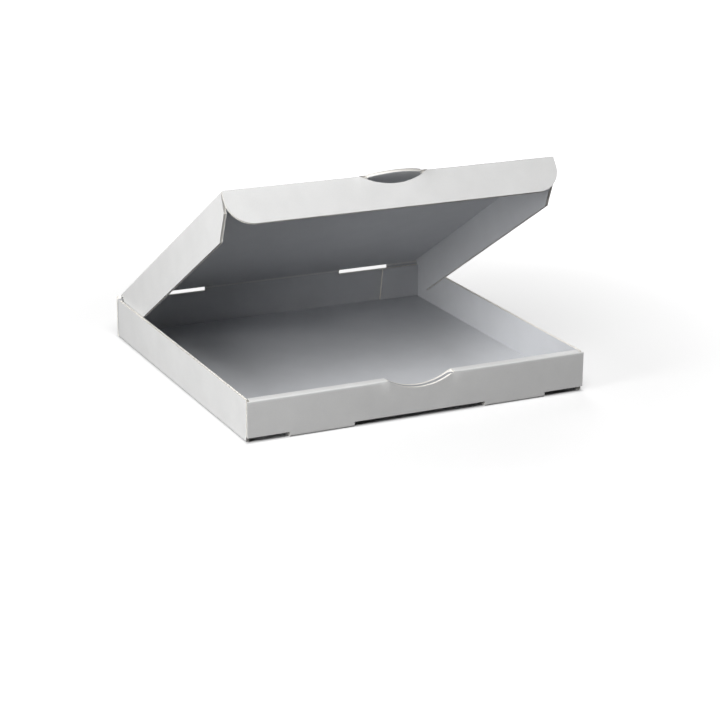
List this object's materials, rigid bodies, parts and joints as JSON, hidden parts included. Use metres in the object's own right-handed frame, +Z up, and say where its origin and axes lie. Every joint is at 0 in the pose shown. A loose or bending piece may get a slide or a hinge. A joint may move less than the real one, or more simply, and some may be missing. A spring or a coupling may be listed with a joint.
{
  "type": "pizza box",
  "caption": "Folded white corrugated pizza box with its hinged lid standing part open, a tuck flap with a finger crescent, a thumb notch and lock slots at the front.",
  "frame": {"origin": "centre of the underside of the tray's floor", "axes": "+X to the right along the front wall, +Y from the front wall to the back wall and its hinge crease, +Z up"},
  "size_m": [0.33, 0.33, 0.2114],
  "materials": {
    "white_board": "matte"
  },
  "bodies": {
    "tray": {"tray": "white_board"},
    "lid": {"lid": "white_board"},
    "tuck_flap": {"tuck_flap": "white_board"}
  },
  "joints": [
    {"name": "lid_hinge", "type": "hinge", "parent": "tray", "child": "lid", "pos_m": [0, 0.165, 0.041], "axis": [-1, 0, 0], "range_deg": [-31.5, 148.5]},
    {"name": "tuck_hinge", "type": "hinge", "parent": "lid", "child": "tuck_flap", "pos_m": [0, -0.10512, 0.20653], "axis": [-1, 0, 0], "range_deg": [0, 84]}
  ]
}
